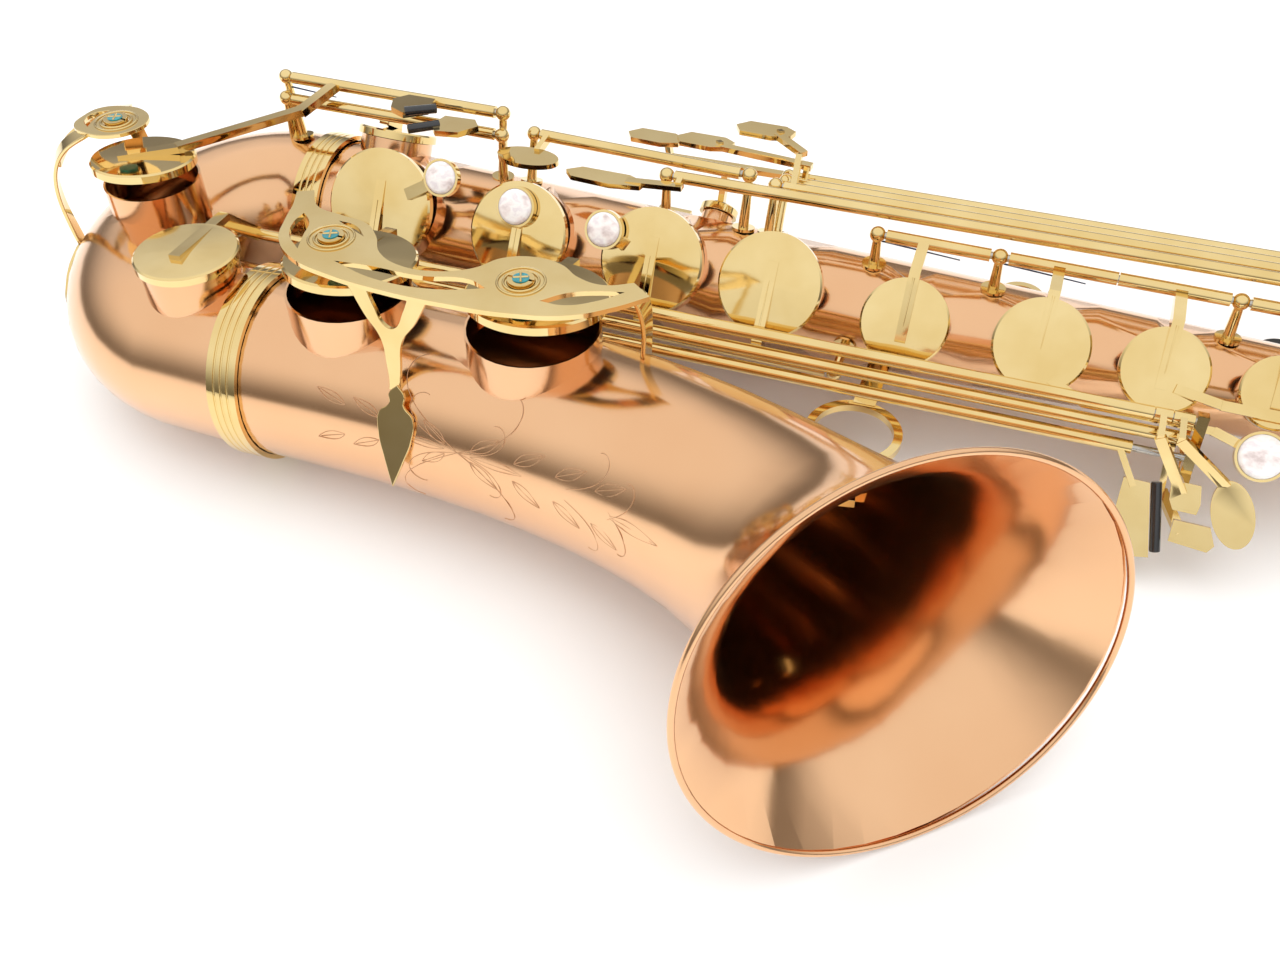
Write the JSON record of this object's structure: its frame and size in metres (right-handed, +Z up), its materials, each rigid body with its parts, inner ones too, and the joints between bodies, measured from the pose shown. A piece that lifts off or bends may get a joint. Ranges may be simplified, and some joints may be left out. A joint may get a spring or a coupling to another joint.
{
  "type": "tenor saxophone",
  "caption": "Conical metal woodwind with a flared bell, padded keys on hinge rods, pearl finger touches and a curved neck with a cork for the mouthpiece.",
  "frame": {"origin": "centre of the box the part fills as it lies on its left side, at the height of the surface it lies on", "axes": "+X runs up the body tube from the bow to the neck, +Z is up, towards the side keys, and -Y is the side the bell is on"},
  "size_m": [0.7832, 0.3511, 0.1491],
  "materials": {
    "bronze": "clear lacquer over bronze",
    "gold": "gold-coloured lacquer over brass",
    "steel": "ground rod",
    "blued_steel": "blued",
    "pearl": "polished mother-of-pearl",
    "roller": "polished black",
    "felt": "felt",
    "cork": "sanded cork",
    "black_plastic": "matt"
  },
  "bodies": {
    "low_d_key": {"low_d_key": "gold", "low_d_pearl": "pearl"},
    "low_e_key": {"low_e_key": "gold", "low_e_pearl": "pearl"},
    "f_key": {"f_key": "gold", "f_pearl": "pearl"},
    "f_sharp_key": {"f_sharp_key": "gold"},
    "g_sharp_key": {"g_sharp_key": "gold"},
    "g_key": {"g_key": "gold", "g_pearl": "pearl"},
    "a_key": {"a_key": "gold", "a_pearl": "pearl"},
    "b_key": {"b_key": "gold"},
    "c_key": {"c_key": "gold", "b_pearl": "pearl"},
    "low_c_key": {"low_c_key": "gold", "low_c_roller": "roller"},
    "low_e_flat_key": {"low_e_flat_key": "gold", "low_e_flat_roller": "roller"},
    "low_c_sharp_lever": {"low_c_sharp_lever": "gold"},
    "low_c_sharp_key": {"low_c_sharp_key": "gold"},
    "low_b_key": {"low_b_key": "gold"},
    "low_b_flat_key": {"low_b_flat_key": "gold", "low_b_flat_roller": "roller"},
    "g_sharp_lever": {"g_sharp_lever": "gold"},
    "side_b_flat_key": {"side_b_flat_key": "gold"},
    "side_c_key": {"side_c_key": "gold"},
    "side_high_e_key": {"side_high_e_key": "gold"},
    "high_f_sharp_key": {"high_f_sharp_key": "gold"},
    "f_sharp_trill_key": {"f_sharp_trill_key": "gold"},
    "palm_d_key": {"palm_d_key": "gold"},
    "palm_e_flat_key": {"palm_e_flat_key": "gold"},
    "palm_f_key": {"palm_f_key": "gold"},
    "thumb_octave_lever": {"thumb_octave_lever": "gold"},
    "body_octave_key": {"body_octave_key": "gold"},
    "neck_octave_key": {"neck_octave_key": "gold"},
    "instrument": {"body_tube": "bronze", "bow": "bronze", "bell": "bronze", "bell_rim_bead": "bronze", "body_bow_ring": "gold", "bell_bow_ring": "gold", "bow_guard_plates": "gold", "bell_key_guard": "gold", "low_c_guard": "gold", "guard_screws": "gold", "guard_felts": "felt", "bell_brace": "gold", "key_posts": "gold", "pivot_rods": "steel", "needle_springs": "blued_steel", "table_bracket": "gold", "strap_ring": "gold", "thumb_hook": "gold", "thumb_rest": "black_plastic", "neck_receiver": "gold", "neck_clamp_screw": "gold", "neck_tube": "bronze", "neck_cork": "cork"}
  },
  "joints": [
    {"name": "low_d_hinge", "type": "hinge", "parent": "instrument", "child": "low_d_key", "pos_m": [-0.28679, 0.02318, 0.03902], "axis": [0.9997, 0.0193, -0.0155], "range_deg": [-11, 0], "stiffness_Nm_per_rad": 0.07, "springref_deg": 34.38},
    {"name": "low_e_hinge", "type": "hinge", "parent": "instrument", "child": "low_e_key", "pos_m": [-0.28679, 0.02318, 0.03902], "axis": [0.9997, 0.0193, -0.0155], "range_deg": [-11, 0], "stiffness_Nm_per_rad": 0.07, "springref_deg": 34.38},
    {"name": "f_hinge", "type": "hinge", "parent": "instrument", "child": "f_key", "pos_m": [-0.15333, 0.02577, 0.03694], "axis": [0.9997, 0.0193, -0.0155], "range_deg": [-11, 0], "stiffness_Nm_per_rad": 0.07, "springref_deg": 34.38},
    {"name": "f_sharp_hinge", "type": "hinge", "parent": "instrument", "child": "f_sharp_key", "pos_m": [-0.15333, 0.02577, 0.03694], "axis": [0.9997, 0.0193, -0.0155], "range_deg": [-11, 0], "stiffness_Nm_per_rad": 0.07, "springref_deg": 34.38},
    {"name": "g_sharp_cup_hinge", "type": "hinge", "parent": "instrument", "child": "g_sharp_key", "pos_m": [-0.04079, 0.07273, 0.07264], "axis": [0.9997, 0.0225, -0.0124], "range_deg": [-7.5, 0], "stiffness_Nm_per_rad": 0.07, "springref_deg": 34.38},
    {"name": "g_hinge", "type": "hinge", "parent": "instrument", "child": "g_key", "pos_m": [0.0082, 0.07384, 0.07203], "axis": [0.9997, 0.0225, -0.0124], "range_deg": [0, 9], "stiffness_Nm_per_rad": 0.07, "springref_deg": -34.38},
    {"name": "a_hinge", "type": "hinge", "parent": "instrument", "child": "a_key", "pos_m": [0.0082, 0.07384, 0.07203], "axis": [0.9997, 0.0225, -0.0124], "range_deg": [0, 9], "stiffness_Nm_per_rad": 0.07, "springref_deg": -34.38},
    {"name": "b_hinge", "type": "hinge", "parent": "instrument", "child": "b_key", "pos_m": [0.09817, 0.07586, 0.07092], "axis": [0.9997, 0.0225, -0.0124], "range_deg": [0, 9], "stiffness_Nm_per_rad": 0.07, "springref_deg": -34.38},
    {"name": "c_hinge", "type": "hinge", "parent": "instrument", "child": "c_key", "pos_m": [0.09817, 0.07586, 0.07092], "axis": [0.9997, 0.0225, -0.0124], "range_deg": [0, 9], "stiffness_Nm_per_rad": 0.07, "springref_deg": -34.38},
    {"name": "low_c_hinge", "type": "hinge", "parent": "instrument", "child": "low_c_key", "pos_m": [-0.31973, 0.08031, 0.09188], "axis": [0.9992, 0.0347, -0.0177], "range_deg": [0, 6], "stiffness_Nm_per_rad": 0.16, "springref_deg": -45.84},
    {"name": "low_e_flat_hinge", "type": "hinge", "parent": "instrument", "child": "low_e_flat_key", "pos_m": [-0.31967, 0.07597, 0.08344], "axis": [0.9992, 0.0347, -0.0177], "range_deg": [0, 6], "stiffness_Nm_per_rad": 0.07, "springref_deg": -34.38},
    {"name": "low_c_sharp_lever_hinge", "type": "hinge", "parent": "instrument", "child": "low_c_sharp_lever", "pos_m": [-0.31346, 0.01001, 0.06025], "axis": [0.9989, 0.043, -0.0187], "range_deg": [0, 6], "stiffness_Nm_per_rad": 0.07, "springref_deg": -34.38},
    {"name": "low_c_sharp_cup_hinge", "type": "hinge", "parent": "instrument", "child": "low_c_sharp_key", "pos_m": [-0.31346, 0.01001, 0.06025], "axis": [0.9989, 0.043, -0.0187], "range_deg": [-6.5, 0], "stiffness_Nm_per_rad": 0.16, "springref_deg": 45.84},
    {"name": "low_b_hinge", "type": "hinge", "parent": "instrument", "child": "low_b_key", "pos_m": [-0.25141, 0.00914, 0.05256], "axis": [0.9989, 0.043, -0.0187], "range_deg": [0, 8], "stiffness_Nm_per_rad": 0.16, "springref_deg": -45.84},
    {"name": "low_b_flat_hinge", "type": "hinge", "parent": "instrument", "child": "low_b_flat_key", "pos_m": [-0.17336, 0.00895, 0.04457], "axis": [0.9989, 0.043, -0.0187], "range_deg": [0, 8], "stiffness_Nm_per_rad": 0.16, "springref_deg": -45.84},
    {"name": "g_sharp_lever_hinge", "type": "hinge", "parent": "instrument", "child": "g_sharp_lever", "pos_m": [-0.31346, 0.01001, 0.06025], "axis": [0.9989, 0.043, -0.0187], "range_deg": [0, 6], "stiffness_Nm_per_rad": 0.07, "springref_deg": -34.38},
    {"name": "side_b_flat_hinge", "type": "hinge", "parent": "instrument", "child": "side_b_flat_key", "pos_m": [-0.08759, 0.10482, 0.06728], "axis": [0.9998, 0.0207, 0.0032], "range_deg": [-5, 0], "stiffness_Nm_per_rad": 0.07, "springref_deg": 34.38},
    {"name": "side_c_hinge", "type": "hinge", "parent": "instrument", "child": "side_c_key", "pos_m": [-0.08621, 0.09592, 0.07171], "axis": [0.9998, 0.0207, 0.0032], "range_deg": [-6, 0], "stiffness_Nm_per_rad": 0.07, "springref_deg": 34.38},
    {"name": "side_high_e_hinge", "type": "hinge", "parent": "instrument", "child": "side_high_e_key", "pos_m": [-0.08843, 0.08737, 0.07556], "axis": [0.9998, 0.0207, 0.0032], "range_deg": [-6, 0], "stiffness_Nm_per_rad": 0.07, "springref_deg": 34.38},
    {"name": "high_f_sharp_hinge", "type": "hinge", "parent": "instrument", "child": "high_f_sharp_key", "pos_m": [-0.13364, 0.07777, 0.07828], "axis": [0.9998, 0.0207, 0.0032], "range_deg": [0, 6], "stiffness_Nm_per_rad": 0.07, "springref_deg": -34.38},
    {"name": "f_sharp_trill_hinge", "type": "hinge", "parent": "instrument", "child": "f_sharp_trill_key", "pos_m": [-0.20065, 0.0893, 0.07808], "axis": [0.9995, -0.0284, 0.0108], "range_deg": [0, 8], "stiffness_Nm_per_rad": 0.07, "springref_deg": -34.38},
    {"name": "palm_d_hinge", "type": "hinge", "parent": "instrument", "child": "palm_d_key", "pos_m": [0.20088, 0.05473, 0.01302], "axis": [0.0022, 0.8759, -0.4825], "range_deg": [0, 9], "stiffness_Nm_per_rad": 0.07, "springref_deg": -34.38},
    {"name": "palm_e_flat_hinge", "type": "hinge", "parent": "instrument", "child": "palm_e_flat_key", "pos_m": [0.23387, 0.07043, 0.01099], "axis": [-0.0016, 0.9942, 0.1072], "range_deg": [0, 9], "stiffness_Nm_per_rad": 0.07, "springref_deg": -34.38},
    {"name": "palm_f_hinge", "type": "hinge", "parent": "instrument", "child": "palm_f_key", "pos_m": [0.2458, 0.04482, 0.02551], "axis": [0.0052, 0.4408, -0.8976], "range_deg": [0, 9], "stiffness_Nm_per_rad": 0.07, "springref_deg": -34.38},
    {"name": "thumb_octave_hinge", "type": "hinge", "parent": "instrument", "child": "thumb_octave_lever", "pos_m": [0.16468, 0.09307, 0.03226], "axis": [-0.0063, 0.1538, 0.9881], "range_deg": [0, 7], "stiffness_Nm_per_rad": 0.07, "springref_deg": -34.38},
    {"name": "body_octave_hinge", "type": "hinge", "parent": "instrument", "child": "body_octave_key", "pos_m": [0.22274, 0.08966, 0.02447], "axis": [-0.0059, 0.4825, 0.8759], "range_deg": [0, 9], "stiffness_Nm_per_rad": 0.07, "springref_deg": -34.38},
    {"name": "neck_octave_hinge", "type": "hinge", "parent": "instrument", "child": "neck_octave_key", "pos_m": [0.36143, 0.06593, 0.03774], "axis": [-0.0063, 0.1538, 0.9881], "range_deg": [-4.5, 0], "stiffness_Nm_per_rad": 0.07, "springref_deg": 34.38}
  ],
  "couplings": [
    {"joint": "f_sharp_hinge", "follows": "f_hinge", "ratio": 1},
    {"joint": "g_sharp_cup_hinge", "follows": "g_sharp_lever_hinge", "ratio": -1.2},
    {"joint": "low_c_sharp_cup_hinge", "follows": "low_c_sharp_lever_hinge", "ratio": -1},
    {"joint": "neck_octave_hinge", "follows": "thumb_octave_hinge", "ratio": -0.6}
  ]
}
